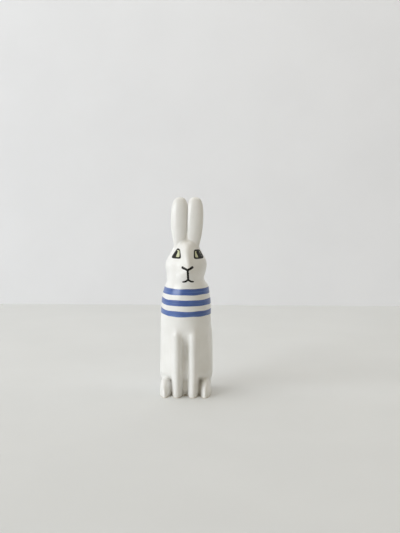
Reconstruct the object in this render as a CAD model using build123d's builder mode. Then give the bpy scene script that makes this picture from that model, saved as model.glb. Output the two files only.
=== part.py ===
"""Ceramic rabbit figurine: luted clay pieces with inlaid colour, sitting upright on a flat base.

Millimetres, +Z up, the rabbit faces -Y. The origin is the middle of the base.
"""
from build123d import *
import os

os.makedirs("parts", exist_ok=True)

# Torso casting, from the base to the neck joint
TORSO_HEIGHT = 101.0
TORSO_HALF_WIDTH = 22.8
CHEST_REACH = 26.2
RUMP_REACH = 26.6
WALL = 4.0
BASE_THICKNESS = 5.0
VENT_DIAMETER = 9.0
# height of TORSO_HEIGHT, half width, front of CHEST_REACH, back of RUMP_REACH
TORSO_SHARES = (
    (0.00, 0.93, 0.74, 0.93),
    (0.15, 0.95, 0.745, 0.99),
    (0.33, 0.97, 0.75, 1.00),
    (0.48, 0.985, 0.80, 0.965),
    (0.60, 0.99, 0.955, 0.915),
    (0.74, 1.00, 1.00, 0.84),
    (0.86, 0.98, 0.98, 0.76),
    (0.94, 0.91, 0.935, 0.70),
)

# Neck joint, shared by the torso and the head
NECK_HALF_WIDTH = 18.5
NECK_FRONT = 23.2
NECK_BACK = 17.0

# Head casting, from the neck joint to the crown
HEAD_HEIGHT = 38.5
HEAD_TURN = 4.0
HEAD_HALF_WIDTH = 18.9
FACE_REACH = 24.0
NAPE_REACH = 17.4
# height of HEAD_HEIGHT, half width, front of FACE_REACH, back of NAPE_REACH, front handle
HEAD_SHARES = (
    (0.12, 0.925, 0.985, 0.96, 0.52),
    (0.25, 0.945, 1.00, 0.98, 0.46),
    (0.40, 1.00, 0.985, 1.00, 0.42),
    (0.52, 0.98, 0.93, 0.985, 0.42),
    (0.60, 0.91, 0.87, 0.95, 0.43),
    (0.70, 0.79, 0.78, 0.87, 0.46),
    (0.81, 0.68, 0.66, 0.76, 0.50),
    (0.92, 0.58, 0.50, 0.61, 0.55),
    (1.00, 0.42, 0.30, 0.40, 0.55),
)
# the hollow ends at this section of the table
HOLLOW_TOP_SECTION = 6

# Muzzle, an egg set into the face
MUZZLE_HALF_WIDTH = 10.4
MUZZLE_REACH = 26.8
MUZZLE_HALF_DEPTH = 14.0
MUZZLE_HALF_HEIGHT = 11.6
MUZZLE_RISE = 10.8

# Ears, leaf forms pressed together along the middle
EAR_TOP = 180.0
EAR_LENGTH = 50.0
EAR_HALF_WIDTH = 8.3
EAR_HALF_THICKNESS = 5.2
EAR_ROOT_HALF_WIDTH = 5.5
EAR_SPREAD = 5.7
EAR_SETBACK = -4.0
EAR_GAP = 0.5
EAR_LEAN = 3.0
EAR_SPLAY = 1.5
EAR_TIP_SHARE = 0.44
EAR_HANDLE_SHARE = 0.74

# Forelegs, two columns that end in the front paws
LEG_SPREAD = 7.3
LEG_HALF_WIDTH = 5.2
LEG_HEIGHT = 63.0
PAW_FRONT = 29.0
LEG_BACK = 16.0
LEG_FRONT_SHARE = 0.66
# height of LEG_HEIGHT, half width, front of PAW_FRONT
LEG_SHARES = (
    (0.00, 1.00, 0.985),
    (0.08, 1.02, 0.995),
    (0.20, 0.97, 0.955),
    (0.42, 0.96, 0.925),
    (0.66, 0.98, 0.920),
    (0.86, 1.00, 0.900),
    (1.00, 0.90, 0.835),
)

# Haunches, egg forms on the sides of the torso
HAUNCH_SPREAD = 16.2
HAUNCH_HALF_WIDTH = 8.4
HAUNCH_HALF_DEPTH = 20.0
HAUNCH_HALF_HEIGHT = 40.0
HAUNCH_RISE = 36.0
HAUNCH_SETBACK = 6.0

# Hind paws, half eggs that lie along the base
HIND_PAW_SPREAD = 17.2
HIND_PAW_HALF_WIDTH = 6.6
HIND_PAW_HALF_LENGTH = 18.0
HIND_PAW_HEIGHT = 15.0
HIND_PAW_SETBACK = -8.5

# Tail, a small egg at the back of the rump
TAIL_BACK = 29.0
TAIL_HALF_WIDTH = 8.0
TAIL_HALF_DEPTH = 6.0
TAIL_HALF_HEIGHT = 9.0
TAIL_RISE = 15.0

# Painted colour, let into the clay
PAINT_DEPTH = 0.3
STRIPE_WIDTH = 4.8
STRIPE_PITCH = 10.1
LOWER_STRIPE_RISE = 75.7
STRIPE_TILT = 0.9
LINE_WIDTH = 1.5

# Eyes: leaning shields either side of the bridge of the nose
EYE_WIDTH = 8.4
EYE_HEIGHT = 8.2
EYE_SPREAD = 5.7
EYE_RISE = 24.6
EYE_CORNER_RADIUS = 1.2
EYE_LINE_WIDTH = 1.1
# across EYE_WIDTH from the inner edge, up EYE_HEIGHT
EYE_SHARES = ((0.0, 0.0), (1.0, 0.0), (0.44, 1.0), (0.06, 1.0))
PUPIL_WIDTH = 2.6
PUPIL_LENGTH = 7.4
PUPIL_SLANT = 30.0
PUPIL_RISE_SHARE = 0.46
# across EYE_WIDTH from the inner edge: both eyes glance the same way
PUPIL_PLACE_SHARES = {"left": 0.46, "right": 0.60}

# Nose and mouth strokes
NOSE_HALF_WIDTH = 5.1
NOSE_RISE = 15.2
NOSE_ARM_RISE = 2.7
MOUTH_HALF_WIDTH = 5.0
MOUTH_RISE = 4.3
MOUTH_DROP = 2.0

# Helpers for every cut
OVERRUN = 20.0
ELLIPSE_SHARE = 0.5523
SIDES = {"left": 1, "right": -1}


def level_outline(height, half_width, front, back, front_share=ELLIPSE_SHARE):
    """Level section of four Bezier quarters that meet square on the X and Y axes."""
    with BuildSketch(Plane.XY.offset(height)) as outline:
        with BuildLine():
            for side in (1, -1):
                Bezier(
                    (side * half_width, 0),
                    (side * half_width, ELLIPSE_SHARE * back),
                    (side * ELLIPSE_SHARE * half_width, back),
                    (0, back),
                )
                Bezier(
                    (side * half_width, 0),
                    (side * half_width, -front_share * front),
                    (side * front_share * half_width, -front),
                    (0, -front),
                )
        make_face()
    return outline.sketch


def neck_outline(inset):
    """The section where torso and head meet."""
    return level_outline(TORSO_HEIGHT, NECK_HALF_WIDTH - inset, NECK_FRONT - inset, NECK_BACK - inset)


def egg(half_width, half_depth, half_height):
    """Egg form round the origin: half an ellipse turned about Z, then drawn in along X."""
    with BuildPart() as form:
        with BuildSketch(Plane.YZ):
            Ellipse(half_depth, half_height)
            Rectangle(half_depth, 2 * half_height, align=(Align.MIN, Align.CENTER), mode=Mode.INTERSECT)
        revolve(axis=Axis.Z)
        scale(by=(half_width / half_depth, 1, 1))
    return form.part


def torso_form(inset):
    """Solid torso, drawn in by inset on every side."""
    sections = [
        level_outline(
            height * TORSO_HEIGHT,
            width * TORSO_HALF_WIDTH - inset,
            front * CHEST_REACH - inset,
            back * RUMP_REACH - inset,
        )
        for height, width, front, back in TORSO_SHARES
    ]
    with BuildPart() as form:
        loft(sections=sections + [neck_outline(inset)])
    return form.part


def head_form(inset, section_count=len(HEAD_SHARES)):
    """Solid head with its muzzle, drawn in by inset on every side, up to the last section asked for."""
    sections = [
        level_outline(
            TORSO_HEIGHT + height * HEAD_HEIGHT,
            width * HEAD_HALF_WIDTH - inset,
            front * FACE_REACH - inset,
            back * NAPE_REACH - inset,
            handle,
        )
        for height, width, front, back, handle in HEAD_SHARES[:section_count]
    ]
    muzzle = egg(MUZZLE_HALF_WIDTH - inset, MUZZLE_HALF_DEPTH - inset, MUZZLE_HALF_HEIGHT - inset)
    with BuildPart() as form:
        loft(sections=[neck_outline(inset)] + sections)
        with Locations((0, MUZZLE_HALF_DEPTH - MUZZLE_REACH, TORSO_HEIGHT + MUZZLE_RISE)):
            add(muzzle)
        split(bisect_by=Plane.XY.offset(TORSO_HEIGHT), keep=Keep.TOP)
    return form.part


def stripe_tool(rise):
    """Ring that reaches PAINT_DEPTH into the torso at one painted band."""
    band = Plane((0, 0, rise), z_dir=Vector(0, 0, 1).rotate(Axis.Y, -STRIPE_TILT))
    with BuildPart() as ring:
        with Locations(band):
            Cylinder(TORSO_HALF_WIDTH + OVERRUN, STRIPE_WIDTH)
        add(torso_paint_core, mode=Mode.SUBTRACT)
    return ring.part


def paint_tool(outline):
    """Prism through the face that reaches PAINT_DEPTH into the head."""
    with BuildPart() as prism:
        extrude(outline, amount=FACE_REACH + OVERRUN, dir=(0, -1, 0))
        add(head_paint_core, mode=Mode.SUBTRACT)
    return prism.part


def eye_outline(side, inset):
    """Eye shape on the front plane, drawn in by inset."""
    corners = [
        (side * (EYE_SPREAD + across * EYE_WIDTH), TORSO_HEIGHT + EYE_RISE + up * EYE_HEIGHT)
        for across, up in EYE_SHARES
    ]
    with BuildSketch(Plane.XZ) as outline:
        with BuildLine():
            Polyline(*corners, close=True)
        make_face()
        fillet(outline.vertices(), EYE_CORNER_RADIUS)
        if inset:
            offset(amount=-inset, kind=Kind.INTERSECTION, mode=Mode.REPLACE)
    return outline.sketch


def pupil_outline(name):
    """Slanted pupil within the painted outline of one eye."""
    side = SIDES[name]
    place = (
        side * (EYE_SPREAD + PUPIL_PLACE_SHARES[name] * EYE_WIDTH),
        TORSO_HEIGHT + EYE_RISE + PUPIL_RISE_SHARE * EYE_HEIGHT,
    )
    with BuildSketch(Plane.XZ) as outline:
        with Locations(Location(place, side * PUPIL_SLANT)):
            Ellipse(PUPIL_WIDTH / 2, PUPIL_LENGTH / 2)
        add(eye_outline(side, EYE_LINE_WIDTH), mode=Mode.INTERSECT)
    return outline.sketch


def nose_outline():
    """The V of the nose."""
    low = TORSO_HEIGHT + NOSE_RISE
    with BuildSketch(Plane.XZ) as outline:
        for side in (1, -1):
            with BuildLine(mode=Mode.PRIVATE) as arm:
                Line((0, low), (side * NOSE_HALF_WIDTH, low + NOSE_ARM_RISE))
            SlotArc(arm.edge(), LINE_WIDTH)
    return outline.sketch


def mouth_outline():
    """The split lip and the two curves of the mouth."""
    top = TORSO_HEIGHT + NOSE_RISE
    fork = TORSO_HEIGHT + MOUTH_RISE + MOUTH_DROP
    low = TORSO_HEIGHT + MOUTH_RISE
    with BuildSketch(Plane.XZ) as outline:
        with BuildLine(mode=Mode.PRIVATE) as lip:
            Line((0, top), (0, fork))
        SlotArc(lip.edge(), LINE_WIDTH)
        for side in (1, -1):
            with BuildLine(mode=Mode.PRIVATE) as curve:
                TangentArc((side * MOUTH_HALF_WIDTH, low), (0, fork), tangent=(-side, 0))
            SlotArc(curve.edge(), LINE_WIDTH)
        add(nose_outline(), mode=Mode.SUBTRACT)
    return outline.sketch


def finish(form, label, turn=0):
    """Turn a finished piece about the upright axis, label it and write it out."""
    placed = form.rotate(Axis.Z, turn)
    placed.label = label
    export_step(placed, f"parts/{label}.step")


# Forms that the pieces are cut from
torso_skin = torso_form(0)
torso_paint_core = torso_form(PAINT_DEPTH)
head_skin = head_form(0)
head_paint_core = head_form(PAINT_DEPTH)

# Painted bands: the ring of clay that each one takes up
STRIPE_NAMES = ("lower_stripe", "middle_stripe", "upper_stripe")
stripe_tools = [stripe_tool(LOWER_STRIPE_RISE + step * STRIPE_PITCH) for step in range(len(STRIPE_NAMES))]
for stripe_name, tool in zip(STRIPE_NAMES, stripe_tools):
    with BuildPart() as stripe:
        add(torso_skin)
        add(tool, mode=Mode.INTERSECT)
    finish(stripe.part, stripe_name)

# Torso: hollow casting with a flat base, a vent hole and shallow seats for the bands
torso_core = torso_form(WALL)
with BuildPart() as hollow:
    add(torso_core)
    split(bisect_by=Plane.XY.offset(BASE_THICKNESS), keep=Keep.TOP)
with BuildPart() as torso:
    add(torso_skin)
    add(stripe_tools + [hollow.part], mode=Mode.SUBTRACT)
    Cylinder(VENT_DIAMETER / 2, 2 * BASE_THICKNESS, mode=Mode.SUBTRACT)
finish(torso.part, "torso")

# Painted face: each piece of colour and the clay that it takes up
face_outlines = {"nose_line": nose_outline(), "mouth_line": mouth_outline()}
for name, side in SIDES.items():
    with BuildSketch(Plane.XZ) as lid:
        add(eye_outline(side, 0))
        add(eye_outline(side, EYE_LINE_WIDTH), mode=Mode.SUBTRACT)
    with BuildSketch(Plane.XZ) as iris:
        add(eye_outline(side, EYE_LINE_WIDTH))
        add(pupil_outline(name), mode=Mode.SUBTRACT)
    face_outlines[f"{name}_eye_outline"] = lid.sketch
    face_outlines[f"{name}_iris"] = iris.sketch
    face_outlines[f"{name}_pupil"] = pupil_outline(name)
face_tools = {name: paint_tool(outline) for name, outline in face_outlines.items()}
for name, tool in face_tools.items():
    with BuildPart() as colour:
        add(head_skin)
        add(tool, mode=Mode.INTERSECT)
    finish(colour.part, name, HEAD_TURN)

# Head: hollow casting, open to the torso at the neck, with shallow seats for the painted face
head_hollow = head_form(WALL, HOLLOW_TOP_SECTION)
with BuildPart() as head:
    add(head_skin)
    add(list(face_tools.values()) + [head_hollow], mode=Mode.SUBTRACT)
finish(head.part, "head", HEAD_TURN)

# Ears: leaf profile turned about the ear's own axis, flattened, leaned back and parted in the middle
with BuildPart() as crown:
    add(head_skin)
    split(bisect_by=Plane.XY.offset(TORSO_HEIGHT + EYE_RISE), keep=Keep.TOP)
with BuildPart() as leaf:
    with BuildSketch(Plane.XZ) as half_leaf:
        with BuildLine():
            widest = (1 - EAR_TIP_SHARE) * EAR_LENGTH
            Bezier(
                (EAR_ROOT_HALF_WIDTH, 0),
                (EAR_ROOT_HALF_WIDTH, widest / 3),
                (EAR_HALF_WIDTH, widest / 2),
                (EAR_HALF_WIDTH, widest),
            )
            Bezier(
                (EAR_HALF_WIDTH, widest),
                (EAR_HALF_WIDTH, widest + EAR_HANDLE_SHARE * (EAR_LENGTH - widest)),
                (EAR_HANDLE_SHARE * EAR_HALF_WIDTH, EAR_LENGTH),
                (0, EAR_LENGTH),
            )
            Polyline((0, EAR_LENGTH), (0, 0), (EAR_ROOT_HALF_WIDTH, 0))
        make_face()
    revolve(axis=Axis.Z)
    scale(by=(1, EAR_HALF_THICKNESS / EAR_HALF_WIDTH, 1))
for name, side in SIDES.items():
    middle = Plane((side * EAR_GAP / 2, 0, 0), z_dir=(side, 0, 0))
    with BuildPart() as ear:
        root = (side * EAR_SPREAD, EAR_SETBACK, EAR_TOP - EAR_LENGTH)
        with Locations(Location(root, (-EAR_LEAN, side * EAR_SPLAY, 0))):
            add(leaf.part)
        split(bisect_by=middle, keep=Keep.TOP)
        add(crown.part, mode=Mode.SUBTRACT)
    finish(ear.part, f"{name}_ear", HEAD_TURN)

# Forelegs: lofted columns whose backs are cut to the torso
foreleg_forms = {}
for name, side in SIDES.items():
    sections = [
        level_outline(
            height * LEG_HEIGHT,
            width * LEG_HALF_WIDTH,
            front * PAW_FRONT - LEG_BACK,
            LEG_BACK / 2,
            LEG_FRONT_SHARE,
        )
        for height, width, front in LEG_SHARES
    ]
    with BuildPart() as column:
        loft(sections=sections)
    with BuildPart() as foreleg:
        with Locations((side * LEG_SPREAD, -LEG_BACK, 0)):
            add(column.part)
        add(torso_skin, mode=Mode.SUBTRACT)
    foreleg_forms[name] = foreleg.part
    finish(foreleg.part, f"{name}_foreleg")

# Haunches: egg forms cut to the torso and the base
haunch_forms = {}
for name, side in SIDES.items():
    with BuildPart() as haunch:
        with Locations((side * HAUNCH_SPREAD, HAUNCH_SETBACK, HAUNCH_RISE)):
            add(egg(HAUNCH_HALF_WIDTH, HAUNCH_HALF_DEPTH, HAUNCH_HALF_HEIGHT))
        split(bisect_by=Plane.XY, keep=Keep.TOP)
        add(torso_skin, mode=Mode.SUBTRACT)
    haunch_forms[name] = haunch.part
    finish(haunch.part, f"{name}_haunch")

# Hind paws: half eggs cut to the torso, the haunch and the foreleg
for name, side in SIDES.items():
    with BuildPart() as hind_paw:
        with Locations((side * HIND_PAW_SPREAD, HIND_PAW_SETBACK, 0)):
            add(egg(HIND_PAW_HALF_WIDTH, HIND_PAW_HALF_LENGTH, HIND_PAW_HEIGHT))
        split(bisect_by=Plane.XY, keep=Keep.TOP)
        add(torso_skin, mode=Mode.SUBTRACT)
        add(haunch_forms[name], mode=Mode.SUBTRACT)
        add(foreleg_forms[name], mode=Mode.SUBTRACT)
    finish(hind_paw.part, f"{name}_hind_paw")

# Tail: small egg cut to the rump
with BuildPart() as tail:
    with Locations((0, TAIL_BACK - TAIL_HALF_DEPTH, TAIL_RISE)):
        add(egg(TAIL_HALF_WIDTH, TAIL_HALF_DEPTH, TAIL_HALF_HEIGHT))
    add(torso_skin, mode=Mode.SUBTRACT)
finish(tail.part, "tail")
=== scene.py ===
from math import atan, cos, exp, pi, radians, sin, tan

import bmesh
import bpy
from mathutils import Matrix, Vector, noise
from mathutils.bvhtree import BVHTree
from mathutils.geometry import interpolate_bezier


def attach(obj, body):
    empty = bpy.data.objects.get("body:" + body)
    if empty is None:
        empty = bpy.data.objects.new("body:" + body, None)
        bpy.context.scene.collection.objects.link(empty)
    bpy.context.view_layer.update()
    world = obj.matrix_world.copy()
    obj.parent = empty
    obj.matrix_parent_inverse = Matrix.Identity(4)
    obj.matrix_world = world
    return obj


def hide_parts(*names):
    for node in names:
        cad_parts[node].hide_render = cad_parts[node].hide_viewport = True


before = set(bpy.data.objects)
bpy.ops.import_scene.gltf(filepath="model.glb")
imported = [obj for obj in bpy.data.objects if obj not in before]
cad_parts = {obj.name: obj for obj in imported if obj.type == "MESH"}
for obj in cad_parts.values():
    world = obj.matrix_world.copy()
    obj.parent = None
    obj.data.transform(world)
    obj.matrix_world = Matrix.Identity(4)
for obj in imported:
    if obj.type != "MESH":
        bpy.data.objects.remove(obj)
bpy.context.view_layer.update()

# Clay body: hollow cast torso and head in white earthenware, with hand-formed legs, haunches, paws and tail.
# They are luted together with slip. A band or brush line belongs to the casting that it is painted on.
LUTED = {
    "torso": ["torso", "upper_stripe", "middle_stripe", "lower_stripe"],
    "head": [
        "head", "left_eye_outline", "right_eye_outline", "left_iris", "right_iris", "left_pupil",
        "right_pupil", "nose_line", "mouth_line",
    ],
    "left_foreleg": ["left_foreleg"],
    "right_foreleg": ["right_foreleg"],
    "left_haunch": ["left_haunch"],
    "right_haunch": ["right_haunch"],
    "left_hind_paw": ["left_hind_paw"],
    "right_hind_paw": ["right_hind_paw"],
    "tail": ["tail"],
}
MERGE_REACH = 1e-6


def node_copy(names):
    """Bmesh copy of some CAD nodes, with their loose triangles merged."""
    copy = bmesh.new()
    for name in names:
        copy.from_mesh(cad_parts[name].data)
    bmesh.ops.remove_doubles(copy, verts=copy.verts, dist=MERGE_REACH)
    return copy


clay = node_copy([name for names in LUTED.values() for name in names])

# Ear leaves: two rolls of clay, flattened to leaves, leaned back and pressed together in the middle.
# Slip worked round their roots makes a collar, which is part of the head's skin.
EAR_TOP = 0.180
EAR_LENGTH = 0.050
EAR_HALF_WIDTH = 0.0083
EAR_HALF_THICKNESS = 0.0052
EAR_ROOT_HALF_WIDTH = 0.0055
EAR_SPREAD = 0.0057
EAR_SETBACK = -0.0056
EAR_GAP = 0.00004
EAR_LEAN = radians(4.8)
EAR_SPLAY = radians(1.5)
EAR_WIDEST = 0.56 * EAR_LENGTH
EAR_HANDLE = 0.74
EAR_LOWER_STEPS = 28
EAR_UPPER_STEPS = 34
EAR_ROUNDS = 72
EAR_COLLAR = 0.150
COLLAR_FULLNESS = 0.94
FINE_REACH = 1e-7
HEAD_TURN = radians(4.0)


def pare(form, place, outward):
    """Cut a closed form off along a plane and close the cut."""
    cut = bmesh.ops.bisect_plane(
        form, geom=form.verts[:] + form.edges[:] + form.faces[:], dist=FINE_REACH, plane_co=place,
        plane_no=outward, clear_outer=True,
    )
    rim = [item for item in cut["geom_cut"] if isinstance(item, bmesh.types.BMEdge)]
    bmesh.ops.holes_fill(form, edges=rim)


def ear_leaf(side, fullness):
    """Leaf profile spun about the ear's axis, flattened, leaned back, parted in the middle and turned."""
    lower = interpolate_bezier(
        (EAR_ROOT_HALF_WIDTH, 0, 0), (EAR_ROOT_HALF_WIDTH, 0, EAR_WIDEST / 3),
        (EAR_HALF_WIDTH, 0, EAR_WIDEST / 2), (EAR_HALF_WIDTH, 0, EAR_WIDEST), EAR_LOWER_STEPS,
    )
    upper = interpolate_bezier(
        (EAR_HALF_WIDTH, 0, EAR_WIDEST),
        (EAR_HALF_WIDTH, 0, EAR_WIDEST + EAR_HANDLE * (EAR_LENGTH - EAR_WIDEST)),
        (EAR_HANDLE * EAR_HALF_WIDTH, 0, EAR_LENGTH), (0, 0, EAR_LENGTH), EAR_UPPER_STEPS,
    )
    leaf = bmesh.new()
    verts = [leaf.verts.new(point) for point in [Vector((0, 0, 0))] + lower + upper[1:]]
    edges = [leaf.edges.new(pair) for pair in zip(verts, verts[1:])]
    bmesh.ops.spin(
        leaf, geom=verts + edges, cent=(0, 0, 0), axis=(0, 0, 1), angle=2 * pi, steps=EAR_ROUNDS,
        use_merge=True,
    )
    bmesh.ops.remove_doubles(leaf, verts=leaf.verts, dist=MERGE_REACH)
    flatness = EAR_HALF_THICKNESS / EAR_HALF_WIDTH
    bmesh.ops.scale(leaf, vec=(fullness, fullness * flatness, 1), verts=leaf.verts)
    bmesh.ops.recalc_face_normals(leaf, faces=leaf.faces)
    root = Matrix.Translation((side * EAR_SPREAD, EAR_SETBACK, EAR_TOP - EAR_LENGTH))
    lean = Matrix.Rotation(-EAR_LEAN, 4, "X") @ Matrix.Rotation(side * EAR_SPLAY, 4, "Y")
    bmesh.ops.transform(leaf, matrix=root @ lean, verts=leaf.verts)
    pare(leaf, (side * EAR_GAP / 2, 0, 0), (-side, 0, 0))
    bmesh.ops.rotate(leaf, cent=(0, 0, 0), matrix=Matrix.Rotation(HEAD_TURN, 3, "Z"), verts=leaf.verts)
    return leaf


for side in (1, -1):
    collar = ear_leaf(side, COLLAR_FULLNESS)
    pare(collar, (0, 0, EAR_COLLAR), (0, 0, 1))
    collar_mesh = bpy.data.meshes.new("ear_collar")
    collar.to_mesh(collar_mesh)
    clay.from_mesh(collar_mesh)

# Skin: the one outer surface of the luted body. The kiln's vent in the base is plugged while it is made,
# and each point of the skin keeps its distance from every luted piece.
CLAY_GRAIN = 0.0006
VENT_RADIUS = 0.0045
VENT_PLUG = 0.004
PLUG_RADIUS = 1.05 * VENT_RADIUS
PLUG_SIDES = 48
FAR_AWAY = 0.012


def kneaded(form, grain):
    """The outer skin of a form of closed lumps, as one even mesh."""
    mesh = bpy.data.meshes.new("clay_form")
    form.to_mesh(mesh)
    holder = bpy.data.objects.new("clay_form", mesh)
    bpy.context.scene.collection.objects.link(holder)
    remesh = holder.modifiers.new("grain", "REMESH")
    remesh.mode = "VOXEL"
    remesh.voxel_size = grain
    finished = holder.evaluated_get(bpy.context.evaluated_depsgraph_get())
    even_mesh = bpy.data.meshes.new_from_object(finished)
    bpy.data.objects.remove(holder)
    even = bmesh.new()
    even.from_mesh(even_mesh)
    return even


bmesh.ops.create_cone(
    clay, cap_ends=True, segments=PLUG_SIDES, radius1=PLUG_RADIUS, radius2=PLUG_RADIUS,
    depth=VENT_PLUG, matrix=Matrix.Translation((0, 0, VENT_PLUG / 2)),
)
skin = kneaded(clay, CLAY_GRAIN)
reach_layers = {name: skin.verts.layers.float.new(name) for name in LUTED}
place_layer = skin.verts.layers.float_vector.new("place")
pool_layer = skin.verts.layers.float.new("pool")
for name, parts in LUTED.items():
    tree = BVHTree.FromBMesh(node_copy(parts))
    layer = reach_layers[name]
    for vert in skin.verts:
        found = tree.find_nearest(vert.co, FAR_AWAY)
        vert[layer] = found[3] if found[0] is not None else FAR_AWAY

# Joints, chest and crown: wiped with a damp sponge while the clay is leather hard, so the joints are soft.
# Glaze pools later in the hollows that the sponge filled.
BASE_EDGE = 0.0007
JOINT_REACH = 0.0030
JOINT_CORE = 0.3 * JOINT_REACH
JOINT_EDGE = 1.6 * JOINT_REACH
CHEST_LOW = (0.0555, 0.0595)
CHEST_HIGH = (0.068, 0.072)
CHEST_FRONT = (0.010, 0.014)
CROWN_RISE = (0.1285, 0.1325)
CROWN_BACK = (-0.002, 0.003)
EAR_ROOTS = (0.133, 0.137)
POOL_DEPTH = 0.0006
SPONGE_PULL = 0.5
FIRST_WIPES = 6
JOINT_WIPES = 30
CHEST_WIPES = 90
CROWN_WIPES = 80
LAST_WIPES = 5


def ease(low, high, value):
    """0 below low, 1 above high, smooth between."""
    share = min(max((value - low) / (high - low), 0.0), 1.0)
    return share * share * (3 - 2 * share)


def swell(middle, spread, value):
    """1 at the middle, falling away on both sides."""
    return exp(-((value - middle) / spread) ** 2)


def sponge(form, passes, share):
    """Smooth a form, each point by its own share of the full move."""
    shares = {vert: share(vert) for vert in form.verts}
    kept = {vert: vert.co.copy() for vert, amount in shares.items() if amount > 0}
    for _ in range(passes):
        bmesh.ops.smooth_vert(
            form, verts=list(kept), factor=SPONGE_PULL, use_axis_x=True, use_axis_y=True,
            use_axis_z=True,
        )
    for vert, place in kept.items():
        vert.co = place.lerp(vert.co, shares[vert])


def above_base(vert):
    """1 above the base, which stays flat."""
    return 1 if vert.co.z > BASE_EDGE else 0


def joint(vert):
    """1 where two luted pieces meet, apart from the sharp creases beside the hind paws."""
    reaches = sorted((vert[layer], name) for name, layer in reach_layers.items())
    (first, name), (second, other) = reaches[:2]
    if "hind_paw" in name + other and "foreleg" in name + other:
        return 0
    return above_base(vert) * (1 - ease(JOINT_CORE, JOINT_EDGE, second - first))


def chest(vert):
    """1 where the chest runs out into the forelegs."""
    height = vert.co.z
    return ease(*CHEST_LOW, height) * (1 - ease(*CHEST_HIGH, height)) * ease(*CHEST_FRONT, -vert.co.y)


def crown(vert):
    """1 on the back of the crown and on the roots of the ears."""
    height = vert.co.z
    return max(ease(*CROWN_RISE, height) * ease(*CROWN_BACK, vert.co.y), ease(*EAR_ROOTS, height))


before = {vert: vert.co.copy() for vert in skin.verts}
sponge(skin, FIRST_WIPES, above_base)
sponge(skin, JOINT_WIPES, joint)
sponge(skin, CHEST_WIPES, chest)
sponge(skin, CROWN_WIPES, crown)
skin.normal_update()
for vert in skin.verts:
    vert[pool_layer] = max(0.0, (vert.co - before[vert]).dot(vert.normal)) / POOL_DEPTH

# Haunches and flanks: the maker draws a thumb along the line of each haunch and adds clay above the paws.
# The rabbit's right side is a little fuller than its left.
THIGH_PRESS = 0.0007
THIGH_SPREAD = 0.0009
THIGH_LIMIT = 3
THIGH_FRONT = -0.012
FLANK_SIDE = (0.010, 0.020)
FLANK_LIMIT = 0.02455
FLANK_SOFTNESS = 0.0009
# thickness, height and spread of the clay added on each side
FLANK_FILLS = {
    -1: ((0.0021, 0.018, 0.010), (0.0010, 0.062, 0.014)),
    1: ((0.0011, 0.018, 0.009), (0.0010, 0.0985, 0.004)),
}


def press_thigh(vert, name):
    """Draw a thumb along the line where a haunch meets the torso, at the side and back."""
    gap = (vert[reach_layers[name]] - vert[reach_layers["torso"]]) / THIGH_SPREAD
    on_torso = vert[reach_layers["torso"]] < JOINT_REACH
    if on_torso and vert.co.y > THIGH_FRONT and abs(gap) < THIGH_LIMIT:
        vert.co -= THIGH_PRESS * exp(-gap * gap) * vert.normal


def model_flanks(co):
    """Fill the haunches above the paws, within the width of the body."""
    side = -1 if co.x < 0 else 1
    fill = sum(thick * swell(height, spread, co.z) for thick, height, spread in FLANK_FILLS[side])
    co.x += side * ease(*FLANK_SIDE, abs(co.x)) * fill
    over = abs(co.x) - FLANK_LIMIT + FLANK_SOFTNESS
    if over > 0:
        co.x = side * (FLANK_LIMIT - FLANK_SOFTNESS * exp(-over / FLANK_SOFTNESS))


for vert in skin.verts:
    if above_base(vert):
        press_thigh(vert, "left_haunch" if vert.co.x > 0 else "right_haunch")

# Forelegs and hind paws: drawn out of the chest with a wooden tool. The legs run out into the flanks,
# with a deep groove between them and a gap on each side beside the hind paws.
LEGS_BACK = -0.008
LEGS_TOP = 0.070
LEG_RIDGE = -0.024
LEG_OUTSIDE = 0.011
LEG_FOOT = (0.014, 0.021)
LEG_HEAD = (0.050, 0.062)
LEG_SIDE = (0.0095, 0.012)
FLANK_SLOPE = 1.4
FLANK_END = (0.0195, 0.0225)
GROOVE_OPENING = 0.0003
GROOVE_TOP = (0.052, 0.060)
GROOVE_MIDDLE = (0, 0.0015)
GROOVE_SIDE = (0.003, 0.0085)
GROOVE_FLOOR = -0.0185
FLOOR_TOP = (0.013, 0.019)
FLOOR_SIDE = (0.0020, 0.0045)
GROOVE_DEEPENING = 0.0025
DEEP_SIDE = (0.0018, 0.0042)
DEEP_FOOT = (0.008, 0.018)
DEEP_TOP = (0.046, 0.058)
PAW_GAP_PLACE = 0.0127
PAW_GAP_SPREAD = 0.0021
PAW_GAP_DEPTH = 0.0055
PAW_GAP_TOP = (0.009, 0.0175)
PAW_FORWARD = 0.0022
PAW_INSIDE = (0.0140, 0.0185)
PAW_OUTSIDE = (0.0195, 0.0235)
PAW_TOP = (0.010, 0.017)
PAW_FRONT = (0.010, 0.018)


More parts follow.
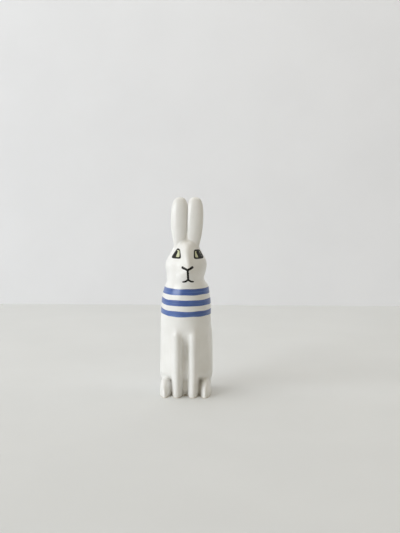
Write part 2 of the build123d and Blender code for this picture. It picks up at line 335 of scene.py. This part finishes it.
def model_legs(co):
    """Draw out the forelegs, open the groove between them and part them from the hind paws."""
    out = abs(co.x)
    side = 1 if co.x > 0 else -1
    slope = LEG_RIDGE + FLANK_SLOPE * (out - LEG_OUTSIDE)
    drawn = ease(*LEG_FOOT, co.z) * (1 - ease(*LEG_HEAD, co.z)) * ease(*LEG_SIDE, out)
    co.y += drawn * min(slope - co.y, 0.0) * (1 - ease(*FLANK_END, out))
    opened = (1 - ease(*GROOVE_TOP, co.z)) * ease(*GROOVE_MIDDLE, out) * (1 - ease(*GROOVE_SIDE, out))
    co.x += side * GROOVE_OPENING * opened
    floor = (1 - ease(*FLOOR_TOP, co.z)) * (1 - ease(*FLOOR_SIDE, out))
    co.y += floor * min(GROOVE_FLOOR - co.y, 0.0)
    deep = (1 - ease(*DEEP_SIDE, out)) * ease(*DEEP_FOOT, co.z) * (1 - ease(*DEEP_TOP, co.z))
    co.y += GROOVE_DEEPENING * deep
    co.y += PAW_GAP_DEPTH * swell(PAW_GAP_PLACE, PAW_GAP_SPREAD, out) * (1 - ease(*PAW_GAP_TOP, co.z))
    paw = ease(*PAW_INSIDE, out) * (1 - ease(*PAW_OUTSIDE, out)) * (1 - ease(*PAW_TOP, co.z))
    co.y -= PAW_FORWARD * paw * ease(*PAW_FRONT, -co.y)


# Face: the brow and the bridge of the nose are pinched into a ridge, and the jaw is pressed in.
# The head sits on the neck with a slight lean to the rabbit's left.
FACE_RIDGE = 0.0031
RIDGE_LOW = (0.108, 0.118)
RIDGE_HIGH = (0.136, 0.142)
RIDGE_ASIDE = 0.0034
RIDGE_RETURN = 0.0028
RETURN_SPAN = (0.120, 0.136)
RIDGE_SPREAD = 0.0046
FACE_BACK = -0.004
JAW_PRESS = 0.0009
JAW_HEIGHT = 0.106
JAW_SPREAD = 0.003
JAW_SIDE = (0.008, 0.014)
NECK = (0.098, 0.106)
HEAD_LEAN = 0.023
HEAD_MIDDLE = 0.118


def model_face(co):
    """Pinch the bridge of the nose and the brow into a ridge, and press in under the left cheek."""
    ridge = ease(*RIDGE_LOW, co.z) * (1 - ease(*RIDGE_HIGH, co.z))
    middle = RIDGE_ASIDE - RIDGE_RETURN * ease(*RETURN_SPAN, co.z)
    if co.y < FACE_BACK:
        co.y -= FACE_RIDGE * ridge * swell(middle, RIDGE_SPREAD, co.x)
    if co.x > 0:
        co.x -= JAW_PRESS * swell(JAW_HEIGHT, JAW_SPREAD, co.z) * ease(*JAW_SIDE, co.x)


def head_roll(co):
    """The head leans a little to the rabbit's left."""
    co.x += HEAD_LEAN * (co.z - HEAD_MIDDLE) * ease(*NECK, co.z)


for vert in skin.verts:
    if vert.co.y < LEGS_BACK and vert.co.z < LEGS_TOP:
        model_legs(vert.co)
    model_flanks(vert.co)
    if vert.co.z > NECK[0]:
        model_face(vert.co)
    head_roll(vert.co)
sponge(skin, LAST_WIPES, above_base)
for vert in skin.verts:
    vert.co.z = max(vert.co.z, 0.0)

# Torso, head, legs, haunches, paws and tail: the skin parted along the luting lines, each piece a cast wall.
# All of it is dipped in clear gloss glaze; the foot is wiped bare, and the vent is open in the base.
CUT_SNAP = 0.00004
WALLS = {"torso": 0.0035, "head": 0.0035}
LIGHT_WALL = 0.002
WHITE_CLAY = (0.83, 0.825, 0.80, 1)
WHITE_PALE = (0.87, 0.865, 0.845, 1)
POOLED_GLAZE = (0.78, 0.755, 0.69, 1)
BARE_FOOT = (0.74, 0.67, 0.56, 1)
CLOUD_SCALE = 55.0
CLOUD_SPAN = (0.35, 0.68)
POOL_SPAN = (0.1, 1.2)
POOL_SHARE = 0.5
FOOT_SPAN = (0.0002, 0.0009)
FOOT_ROUGHNESS = 0.4
RIPPLE_SCALE = 95.0
RIPPLE_STRENGTH = 0.25
RIPPLE_DEPTH = 0.0006
PEEL_SCALE = 900.0
PEEL_SHARE = 0.05
# below about 0.28 the render's denoiser takes the gloss for a mirror and draws marks on it
GLAZE_ROUGHNESS = 0.285
GLAZE_UNEVENNESS = 0.05
GLAZE_IOR = 1.5
GLAZE_COAT = 0.20
COAT_ROUGHNESS = 0.12


def cut_skin(field):
    """Split the skin's faces along the line where a field, one number for each point, is zero."""
    for vert in skin.verts:
        vert[place_layer] = vert.co
        vert.co.z = field(vert)
    bmesh.ops.bisect_plane(
        skin, geom=skin.verts[:] + skin.edges[:] + skin.faces[:], dist=CUT_SNAP, plane_co=(0, 0, 0),
        plane_no=(0, 0, 1),
    )
    for vert in skin.verts:
        vert.co = vert[place_layer]


def lead(vert, name):
    """How much nearer a point is to one luted piece than to any other, below zero where it is."""
    others = min(vert[layer] for other, layer in reach_layers.items() if other != name)
    return vert[reach_layers[name]] - others


def vent_reach(vert):
    """Distance of a point of the base from the rim of the vent."""
    return vert.co.xy.length - VENT_RADIUS if vert.co.z < CLAY_GRAIN else FAR_AWAY


for name in LUTED:
    cut_skin(lambda vert: lead(vert, name))
cut_skin(vent_reach)
skin.normal_update()
skin_tree = BVHTree.FromBMesh(skin)


class Shade:
    """A shader socket: arithmetic adds Math nodes, node() adds any other node."""

    def __init__(self, tree, socket=None):
        self.tree = tree
        self.socket = socket

    def node(self, kind, settings=None, inputs=None, output=0):
        made = self.tree.nodes.new(kind)
        for name, value in (settings or {}).items():
            setattr(made, name, value)
        for name, value in (inputs or {}).items():
            if isinstance(value, Shade):
                self.tree.links.new(value.socket, made.inputs[name])
            else:
                made.inputs[name].default_value = value
        return Shade(self.tree, made.outputs[output])

    def math(self, operation, first, second):
        return self.node("ShaderNodeMath", {"operation": operation}, {0: first, 1: second})

    def __add__(self, other):
        return self.math("ADD", self, other)

    def __radd__(self, other):
        return self.math("ADD", other, self)

    def __sub__(self, other):
        return self.math("SUBTRACT", self, other)

    def __rsub__(self, other):
        return self.math("SUBTRACT", other, self)

    def __mul__(self, other):
        return self.math("MULTIPLY", self, other)

    def __rmul__(self, other):
        return self.math("MULTIPLY", other, self)

    def band(self, low, high):
        """0 below low, 1 above high, smooth between."""
        return self.node(
            "ShaderNodeMapRange", {"interpolation_type": "SMOOTHSTEP"},
            {"Value": self, "From Min": low, "From Max": high},
        )

    def noise(self, scale, detail=2.0, rough=0.5):
        """Noise texture at this point, about 0.5 on average."""
        return self.node(
            "ShaderNodeTexNoise", {},
            {"Vector": self, "Scale": scale, "Detail": detail, "Roughness": rough},
        )

    def stretch(self, factors):
        """The point with its axes scaled."""
        return self.node("ShaderNodeVectorMath", {"operation": "MULTIPLY"}, {0: self, 1: factors})

    def blend(self, first, second):
        """Colour mix: first where this is 0, second where it is 1."""
        return self.node("ShaderNodeMix", {"data_type": "RGBA"}, {0: self, 6: first, 7: second}, output=2)


def new_material(name):
    """Empty node material, with its point in Object coordinates."""
    material = bpy.data.materials.new(name)
    material.use_nodes = True
    material.node_tree.nodes.clear()
    start = Shade(material.node_tree)
    point = start.node("ShaderNodeTexCoord", output=3)
    return material, point


def gloss(point, inputs):
    """Principled surface on the material's output."""
    shader = point.node("ShaderNodeBsdfPrincipled", {}, inputs)
    finish = point.tree.nodes.new("ShaderNodeOutputMaterial")
    point.tree.links.new(shader.socket, finish.inputs["Surface"])


def white_glaze():
    """Clear gloss over white earthenware: faintly warm where it pools, bare at the foot."""
    material, point = new_material("white_glaze")
    cloud = point.noise(CLOUD_SCALE, detail=3.0)
    pool = point.node("ShaderNodeAttribute", {"attribute_name": "pool"}, output=2)
    height = point.node("ShaderNodeSeparateXYZ", {}, {0: point}, output=2)
    body = cloud.band(*CLOUD_SPAN).blend(WHITE_CLAY, WHITE_PALE)
    pooled = (pool.band(*POOL_SPAN) * POOL_SHARE).blend(body, POOLED_GLAZE)
    foot = 1.0 - height.band(*FOOT_SPAN)
    ripple = point.noise(RIPPLE_SCALE, detail=2.0)
    orange_peel = point.noise(PEEL_SCALE, detail=1.0)
    relief = ripple + orange_peel * PEEL_SHARE
    bump = {"Strength": RIPPLE_STRENGTH, "Distance": RIPPLE_DEPTH, "Height": relief}
    gloss(point, {
        "Base Color": foot.blend(pooled, BARE_FOOT),
        "Roughness": GLAZE_ROUGHNESS + cloud * GLAZE_UNEVENNESS + foot * FOOT_ROUGHNESS,
        "IOR": GLAZE_IOR,
        "Coat Weight": GLAZE_COAT - foot * GLAZE_COAT,
        "Coat Roughness": COAT_ROUGHNESS,
        "Normal": point.node("ShaderNodeBump", {}, bump),
    })
    return material


glaze = white_glaze()


def show(piece_mesh, name, material, nodes):
    """Put a finished mesh into the scene as a piece that stands for CAD nodes."""
    piece = bpy.data.objects.new(name, piece_mesh)
    bpy.context.scene.collection.objects.link(piece)
    piece_mesh.materials.clear()
    piece_mesh.materials.append(material)
    piece_mesh.polygons.foreach_set("use_smooth", [True] * len(piece_mesh.polygons))
    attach(piece, "root")
    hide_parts(*nodes)
    return piece


def shell_piece(faces_wanted, wall, lift=0.0):
    """Closed shell from part of the skin, keeping the skin's own normals so that joints don't show."""
    patch = skin.copy()
    outward_layer = patch.verts.layers.float_vector["place"]
    for vert in patch.verts:
        vert[outward_layer] = vert.normal
        vert.co += lift * vert.normal
    patch.faces.ensure_lookup_table()
    wanted = set(faces_wanted)
    spare = [face for face in patch.faces if face.index not in wanted]
    bmesh.ops.delete(patch, geom=spare, context="FACES")
    for edge in patch.edges:
        edge.smooth = not edge.is_boundary
    outer = len(patch.verts)
    mesh = bpy.data.meshes.new("shell")
    patch.to_mesh(mesh)
    holder = bpy.data.objects.new("shell", mesh)
    bpy.context.scene.collection.objects.link(holder)
    thick = holder.modifiers.new("wall", "SOLIDIFY")
    thick.thickness = wall
    thick.offset = -1
    finished = holder.evaluated_get(bpy.context.evaluated_depsgraph_get())
    solid = bpy.data.meshes.new_from_object(finished)
    bpy.data.objects.remove(holder)
    for vert in solid.vertices:
        vert.co.z = max(vert.co.z, 0.0)
    outward = [Vector(item.vector) for item in solid.attributes["place"].data]
    solid.normals_split_custom_set_from_vertices(
        [direction if index < outer else -direction for index, direction in enumerate(outward)]
    )
    return solid


skin.faces.ensure_lookup_table()
skin.faces.index_update()
owners = {}
for face in skin.faces:
    owner = min(LUTED, key=lambda name: sum(vert[reach_layers[name]] for vert in face.verts))
    owners[face.index] = owner
for name in LUTED:
    wanted = [
        index for index, owner in owners.items()
        if owner == name and min(vent_reach(vert) for vert in skin.faces[index].verts) > -MERGE_REACH
    ]
    show(shell_piece(wanted, WALLS.get(name, LIGHT_WALL)), f"{name}_clay", glaze, [name])

# Ears: the two leaves themselves, solid clay, wiped smooth and glazed with the body.
# Their fronts are full and rounded, with the parting as a fine dark line between them.
EAR_GRAIN = 0.0004
EAR_WIPES = 14
for name, side in (("left", 1), ("right", -1)):
    ear = kneaded(ear_leaf(side, 1.0), EAR_GRAIN)
    sponge(ear, EAR_WIPES, lambda vert: 1)
    for vert in ear.verts:
        head_roll(vert.co)
    ear_mesh = bpy.data.meshes.new(f"{name}_ear_clay")
    ear.to_mesh(ear_mesh)
    show(ear_mesh, f"{name}_ear_clay", glaze, [f"{name}_ear"])

# Blue bands: underglaze colour banded on with a wide brush as the piece turns on a wheel, under the gloss.
# The edges waver a little and the colour is thin in streaks.
STRIPE_TILT = radians(-0.2)
STRIPE_LIFT = 0.00004
STRIPE_DEPTH = 0.00020
RISE_SPAN = (0.014, 0.024)
WAVER_HEIGHT = 0.00045
WAVER_SCALE = 90
BAND_SEED = 3.1
EDGE_SEED = 1.7
BLUE_THIN = (0.105, 0.190, 0.47, 1)
BLUE_DENSE = (0.040, 0.088, 0.30, 1)
BLUE_SPAN = (0.32, 0.68)
BLUE_COAT = 0.25
STREAK_STRETCH = (30.0, 30.0, 900.0)
STREAK_SHARE = 0.6
STREAK_STRENGTH = 0.2
STREAK_DEPTH = 0.0004
LOAD_SCALE = 70.0
LOAD_SHARE = 0.4
# middle height, width and rise at the rabbit's right of each band
STRIPES = {
    "lower_stripe": (0.0757, 0.00485, 0.0013),
    "middle_stripe": (0.0855, 0.00525, 0.0010),
    "upper_stripe": (0.0954, 0.00550, 0.0),
}


def blue_underglaze():
    """Brushed cobalt-like blue: streaks along the band, lighter where the brush ran thin."""
    material, point = new_material("blue_underglaze")
    streak = point.stretch(STREAK_STRETCH).noise(1.0, detail=3.0, rough=0.6)
    load = point.noise(LOAD_SCALE, detail=2.0)
    density = streak * STREAK_SHARE + load * LOAD_SHARE
    bump = {"Strength": STREAK_STRENGTH, "Distance": STREAK_DEPTH, "Height": streak}
    gloss(point, {
        "Base Color": density.band(*BLUE_SPAN).blend(BLUE_THIN, BLUE_DENSE),
        "Roughness": GLAZE_ROUGHNESS + load * GLAZE_UNEVENNESS,
        "IOR": GLAZE_IOR,
        "Coat Weight": BLUE_COAT,
        "Coat Roughness": COAT_ROUGHNESS,
        "Normal": point.node("ShaderNodeBump", {}, bump),
    })
    return material


blue = blue_underglaze()


def waver(point, seed):
    """Small wander of a brushed edge round the body."""
    return WAVER_HEIGHT * noise.noise(Vector((WAVER_SCALE * point.x, WAVER_SCALE * point.y, seed)))


def above_middle(vert, middle, rise):
    """Height of a point above the middle of a band, which rises a little at the rabbit's right."""
    return vert.co.z - middle - tan(STRIPE_TILT) * vert.co.x - rise * ease(*RISE_SPAN, -vert.co.x)


for step, (name, (middle, width, rise)) in enumerate(STRIPES.items()):
    seed = BAND_SEED * step
    edges = (
        lambda vert: above_middle(vert, middle, rise) + width / 2 + waver(vert.co, seed),
        lambda vert: above_middle(vert, middle, rise) - width / 2 + waver(vert.co, seed + EDGE_SEED),
    )
    for edge in edges:
        cut_skin(edge)
    skin.normal_update()
    skin.faces.index_update()
    wanted = [
        face.index for face in skin.faces
        if abs(face.verts[0].co.z - middle) < 2 * width
        and sum(edges[0](vert) for vert in face.verts) > 0 > sum(edges[1](vert) for vert in face.verts)
    ]
    band = shell_piece(wanted, STRIPE_DEPTH, STRIPE_LIFT)
    show(band, f"{name}_colour", blue, [name])

# Eyes: ringed in black slip with a fine brush, filled with a thin pale wash, the pupils glancing aside.
# The colours are fired under the gloss and stand no thicker than a coat of paint.
FACE_START = -0.06
FACE_DEPTH = 0.00014
IRIS_LIFT = 0.00003
PUPIL_LIFT = 0.00005
LINE_LIFT = 0.00007
OVERLAP_LIFT = 0.00001
STROKE_STEPS = 40
STROKE_ROWS = 6
STROKE_END = 9
STROKE_LEAST = 0.12
WOBBLE = 0.22
WOBBLE_SCALE = 900
WOBBLE_ACROSS = 5.0
EYE_ROUNDS = 64
EYE_RINGS = 10
EYE_SQUARENESS = 5
IRIS_SHARE = 0.86
RING_SHARE = 1.03
BLACK_DENSE = (0.006, 0.0055, 0.005, 1)
BLACK_THIN = (0.020, 0.018, 0.016, 1)
IRIS_DEEP = (0.50, 0.52, 0.30, 1)
IRIS_PALE = (0.66, 0.67, 0.46, 1)
SLIP_SCALE = 420.0
SLIP_SPAN = (0.42, 0.75)
SLIP_ROUGHNESS = 0.30
SLIP_UNEVENNESS = 0.12
SLIP_IOR = 1.45
SLIP_SPECULAR = 0.25
IRIS_SCALE = 380.0
IRIS_SPAN = (0.35, 0.65)
IRIS_COAT = 0.3
IRIS_COAT_ROUGHNESS = 0.06
# inner low, outer low, outer high and inner high corner of each eye, then its pupil's curve
EYES = {
    "right": (
        ((-0.0048, 0.1251), (-0.0138, 0.1250), (-0.0081, 0.1339), (-0.0056, 0.1331)),
        ((-0.0084, 0.1319), (-0.0091, 0.1301), (-0.0100, 0.1280), (-0.0112, 0.1256)),
    ),
    "left": (
        ((0.0067, 0.1248), (0.0163, 0.1245), (0.0121, 0.1325), (0.0068, 0.1327)),
        ((0.0098, 0.1319), (0.0107, 0.1298), (0.0117, 0.1276), (0.0129, 0.1251)),
    ),
}
# inside of the ring as a share of the eye, and the pupil's width at its top and foot
EYE_LINES = {"right": (0.70, (0.0020, 0.0027)), "left": (0.72, (0.0027, 0.0033))}


def black_line():
    """Black slip, browner and thinner at places, under the gloss."""
    material, point = new_material("black_line")
    load = point.noise(SLIP_SCALE, detail=3.0)
    gloss(point, {
        "Base Color": load.band(*SLIP_SPAN).blend(BLACK_DENSE, BLACK_THIN),
        "Roughness": SLIP_ROUGHNESS + load * SLIP_UNEVENNESS,
        "IOR": SLIP_IOR,
        "Specular IOR Level": SLIP_SPECULAR,
    })
    return material


def iris_colour():
    """Thin wash of pale yellow green, uneven as a single dab of the brush leaves it."""
    material, point = new_material("iris_colour")
    wash = point.noise(IRIS_SCALE, detail=3.0)
    gloss(point, {
        "Base Color": wash.band(*IRIS_SPAN).blend(IRIS_DEEP, IRIS_PALE),
        "Roughness": GLAZE_ROUGHNESS + wash * GLAZE_UNEVENNESS,
        "IOR": GLAZE_IOR,
        "Coat Weight": IRIS_COAT,
        "Coat Roughness": IRIS_COAT_ROUGHNESS,
    })
    return material


black = black_line()
iris = iris_colour()


def brush_stroke(bends, widths):
    """Flat stroke along one Bezier curve, from the first width to the second, with rounded ends."""
    stroke = bmesh.new()
    bmesh.ops.create_grid(stroke, x_segments=STROKE_STEPS, y_segments=STROKE_ROWS, size=1)
    line = interpolate_bezier(*[Vector((x, 0, z)) for x, z in bends], STROKE_STEPS + 1)
    for vert in stroke.verts:
        share = (vert.co.x + 1) / 2
        step = round(share * STROKE_STEPS)
        along = (line[min(step + 1, STROKE_STEPS)] - line[max(step - 1, 0)]).normalized()
        width = widths[0] + share * (widths[1] - widths[0])
        round_end = (1 - abs(2 * share - 1) ** STROKE_END) ** 0.5
        spot = Vector((WOBBLE_SCALE * line[step].x, WOBBLE_ACROSS * vert.co.y, WOBBLE_SCALE * line[step].z))
        wobble = 1 + WOBBLE * noise.noise(spot)
        reach = 0.5 * width * max(round_end, STROKE_LEAST) * wobble * vert.co.y
        vert.co = line[step] + reach * Vector((-along.z, 0, along.x))
    return stroke


def eye_patch(corners, inner, outer):
    """Ring between two shares of a four-cornered eye with soft corners, or its middle if inner is 0."""
    patch = bmesh.new()
    bmesh.ops.create_grid(patch, x_segments=EYE_ROUNDS, y_segments=EYE_RINGS, size=1)
    low_in, low_out, high_out, high_in = (Vector((x, 0, z)) for x, z in corners)
    for vert in patch.verts:
        turn = pi * vert.co.x
        reach = inner + (outer - inner) * (vert.co.y + 1) / 2
        across = reach * cos(turn)
        up = reach * sin(turn)
        roundness = abs(cos(turn)) ** EYE_SQUARENESS + abs(sin(turn)) ** EYE_SQUARENESS
        stretch = 1 / roundness ** (1 / EYE_SQUARENESS)
        u = (1 + across * stretch) / 2
        v = (1 + up * stretch) / 2
        vert.co = (1 - v) * ((1 - u) * low_in + u * low_out) + v * ((1 - u) * high_in + u * high_out)
    bmesh.ops.remove_doubles(patch, verts=patch.verts, dist=FINE_REACH)
    return patch


def painted(name, patches, lift, material):
    """Lay flat patches, drawn as seen from in front, on the skin as one piece of fired colour."""
    turn = Matrix.Rotation(HEAD_TURN, 3, "Z")
    paint_mesh = bpy.data.meshes.new(name)
    whole = bmesh.new()
    for patch in patches:
        for vert in patch.verts:
            start = turn @ Vector((vert.co.x, FACE_START, vert.co.z))
            place, outward, _, _ = skin_tree.ray_cast(start, turn @ Vector((0, 1, 0)))
            vert.co = place + lift * outward
        lift += OVERLAP_LIFT
        layer_mesh = bpy.data.meshes.new("layer")
        patch.to_mesh(layer_mesh)
        whole.from_mesh(layer_mesh)
        bpy.data.meshes.remove(layer_mesh)
    bmesh.ops.recalc_face_normals(whole, faces=whole.faces)
    if sum(face.normal.y for face in whole.faces) > 0:
        bmesh.ops.reverse_faces(whole, faces=whole.faces)
    whole.to_mesh(paint_mesh)
    piece = show(paint_mesh, f"{name}_paint", material, [name])
    thick = piece.modifiers.new("depth", "SOLIDIFY")
    thick.thickness = FACE_DEPTH
    thick.offset = -1


for name, (corners, pupil) in EYES.items():
    inner, pupil_widths = EYE_LINES[name]
    painted(f"{name}_iris", [eye_patch(corners, 0.0, IRIS_SHARE)], IRIS_LIFT, iris)
    painted(f"{name}_pupil", [brush_stroke(pupil, pupil_widths)], PUPIL_LIFT, black)
    ring = eye_patch(corners, inner, RING_SHARE)
    painted(f"{name}_eye_outline", [ring], LINE_LIFT, black)

# Nose and mouth: the V of the nose, the split lip and the curl of the mouth, each a stroke of black slip.
# The strokes thin out where the brush lifts, and the mouth sits a little aside of the nose.
FACE_MIDDLE = 0.0009
NOSE_FOOT = 0.1156
MOUTH_MIDDLE = 0.0014
MOUTH_HEIGHT = 0.1073
NOSE_WIDTHS = (0.0023, 0.0018)
LIP_WIDTHS = (0.0018, 0.0019)
MOUTH_WIDTHS = (0.0019, 0.0013)
# the nose and the mouth are drawn once for each side, outwards and upwards from their middles
NOSE_CURVE = ((0.0053, 0.0024), (0.0035, 0.0020), (0.0015, 0.0009), (-0.0003, 0.0))
MOUTH_CURVE = ((-0.0003, 0.0), (0.0014, -0.0018), (0.0032, -0.0029), (0.0053, -0.0025))
LIP_CURVE = ((0.0009, 0.1159), (0.0011, 0.1126), (0.0013, 0.1103), (0.0014, 0.1071))


def stroke_pair(curve, middle, height, widths):
    """The same stroke on the rabbit's right and on its left."""
    return [
        brush_stroke([(middle + side * out, height + up) for out, up in curve], widths)
        for side in (-1, 1)
    ]


nose_strokes = stroke_pair(NOSE_CURVE, FACE_MIDDLE, NOSE_FOOT, NOSE_WIDTHS)
painted("nose_line", nose_strokes, LINE_LIFT, black)
lip_stroke = brush_stroke(LIP_CURVE, LIP_WIDTHS)
mouth_strokes = stroke_pair(MOUTH_CURVE, MOUTH_MIDDLE, MOUTH_HEIGHT, MOUTH_WIDTHS)
painted("mouth_line", [lip_stroke] + mouth_strokes, LINE_LIFT, black)

# Stage: a plain pale table that the rabbit stands on, and a plain wall behind it.
# Both are in matt paint, faintly mottled, and the back edge of the table meets the wall.
WALL_DISTANCE = 0.532
TABLE_HALF_WIDTH = 4
TABLE_FRONT = 3
WALL_HALF_HEIGHT = 2
WALL_MIDDLE = 1.5
TABLE_PAINT = ((0.76, 0.775, 0.775, 1), (0.74, 0.755, 0.755, 1))
WALL_PAINT = ((0.86, 0.87, 0.90, 1), (0.84, 0.85, 0.88, 1))
MOTTLE_SCALE = 9.0
MOTTLE_SPAN = (0.3, 0.7)
PAINT_ROUGHNESS = 0.6
PAINT_UNEVENNESS = 0.1


def paint(name, light, dark):
    """Plain matt paint with the faintest mottling."""
    material, point = new_material(name)
    mottle = point.noise(MOTTLE_SCALE, detail=4.0)
    gloss(point, {
        "Base Color": mottle.band(*MOTTLE_SPAN).blend(dark, light),
        "Roughness": PAINT_ROUGHNESS + mottle * PAINT_UNEVENNESS,
    })
    return material


def stage_piece(form, name, material):
    """Put a finished form into the scene as part of the stage."""
    mesh = bpy.data.meshes.new(name)
    form.to_mesh(mesh)
    mesh.materials.append(material)
    piece = bpy.data.objects.new(name, mesh)
    bpy.context.scene.collection.objects.link(piece)


table = bmesh.new()
bmesh.ops.create_grid(table, x_segments=2, y_segments=2, size=1)
bmesh.ops.scale(table, vec=(TABLE_HALF_WIDTH, (WALL_DISTANCE + TABLE_FRONT) / 2, 1), verts=table.verts)
bmesh.ops.translate(table, vec=(0, (WALL_DISTANCE - TABLE_FRONT) / 2, 0), verts=table.verts)
stage_piece(table, "table_top", paint("table_paint", *TABLE_PAINT))
wall = bmesh.new()
bmesh.ops.create_grid(wall, x_segments=2, y_segments=2, size=1, matrix=Matrix.Rotation(pi / 2, 4, "X"))
bmesh.ops.scale(wall, vec=(TABLE_HALF_WIDTH, 1, WALL_HALF_HEIGHT), verts=wall.verts)
bmesh.ops.translate(wall, vec=(0, WALL_DISTANCE, WALL_MIDDLE), verts=wall.verts)
stage_piece(wall, "back_wall", paint("wall_paint", *WALL_PAINT))

# Camera: at the photograph's viewing angle, a little above the rabbit and a little to its left.
# The lens and the place give the photograph's framing, in pixels of its 400 x 533 frame.
FOCAL_PIXELS = 850.0
IMAGE_HEIGHT = 533.0
CAMERA_DISTANCE = 0.776
CAMERA_HEIGHT = 0.1977
CAMERA_PITCH = radians(6.0)
CAMERA_TURN = radians(-2.4)
CAMERA_ASIDE = 0.0127
CAMERA_NEAR = 0.01
camera_data = bpy.data.cameras.new("camera")
camera_data.sensor_fit = "VERTICAL"
camera_data.angle = 2 * atan(IMAGE_HEIGHT / 2 / FOCAL_PIXELS)
camera_data.clip_start = CAMERA_NEAR
camera = bpy.data.objects.new("camera", camera_data)
camera.rotation_euler = (pi / 2 - CAMERA_PITCH, 0, -CAMERA_TURN)
ahead = Vector((sin(CAMERA_TURN), cos(CAMERA_TURN), 0))
aside = Vector((cos(CAMERA_TURN), -sin(CAMERA_TURN), 0))
camera.location = -CAMERA_DISTANCE * ahead + CAMERA_ASIDE * aside + Vector((0, 0, CAMERA_HEIGHT))
bpy.context.scene.collection.objects.link(camera)
bpy.context.scene.camera = camera

# Light: one large soft window at the viewer's left, a weak wash on the wall, and a dim warm room.
# Only the camera sees the room as pale, so that it lights nothing more.
WINDOW_AROUND = radians(55.0)
WINDOW_RISE = radians(18.0)
WINDOW_DISTANCE = 4.0
WINDOW_SIZE = (3.2, 1.9)
WINDOW_POWER = 102.0
WINDOW_COLOUR = (0.90, 0.945, 1.0)
WASH_PLACE = (0, 0.1, 1.5)
WASH_HEIGHT = 0.35
WASH_SIZE = (2.4, 0.3)
WASH_POWER = 7.4
WASH_COLOUR = (1.0, 0.98, 0.96)
FIGURE_MIDDLE = 0.09
ROOM_LIGHT = {"Color": (1.0, 0.88, 0.65, 1), "Strength": 0.31}
ROOM_LOOK = {"Color": (0.70, 0.71, 0.72, 1), "Strength": 1.0}


def soft_light(name, location, target, size, power, colour):
    """Large soft light facing a target."""
    data = bpy.data.lights.new(name, "AREA")
    data.shape = "RECTANGLE"
    data.size, data.size_y = size
    data.energy = power
    data.color = colour
    light = bpy.data.objects.new(name, data)
    light.location = location
    light.rotation_euler = (Vector(target) - Vector(location)).to_track_quat("-Z", "Y").to_euler()
    bpy.context.scene.collection.objects.link(light)


window_out = WINDOW_DISTANCE * cos(WINDOW_RISE)
window_place = (
    -window_out * sin(WINDOW_AROUND), -window_out * cos(WINDOW_AROUND),
    FIGURE_MIDDLE + WINDOW_DISTANCE * sin(WINDOW_RISE),
)
soft_light("window", window_place, (0, 0, FIGURE_MIDDLE), WINDOW_SIZE, WINDOW_POWER, WINDOW_COLOUR)
wash_target = (0, WALL_DISTANCE, WASH_HEIGHT)
soft_light("wall_wash", WASH_PLACE, wash_target, WASH_SIZE, WASH_POWER, WASH_COLOUR)
world = bpy.data.worlds.new("room")
world.use_nodes = True
world.node_tree.nodes.clear()
start = Shade(world.node_tree)
seen = start.node("ShaderNodeLightPath")
room_light = start.node("ShaderNodeBackground", {}, ROOM_LIGHT)
room_look = start.node("ShaderNodeBackground", {}, ROOM_LOOK)
room = start.node("ShaderNodeMixShader", {}, {0: seen, 1: room_light, 2: room_look})
room_end = world.node_tree.nodes.new("ShaderNodeOutputWorld")
world.node_tree.links.new(room.socket, room_end.inputs["Surface"])
bpy.context.scene.world = world
bpy.context.scene.view_settings.view_transform = "Standard"
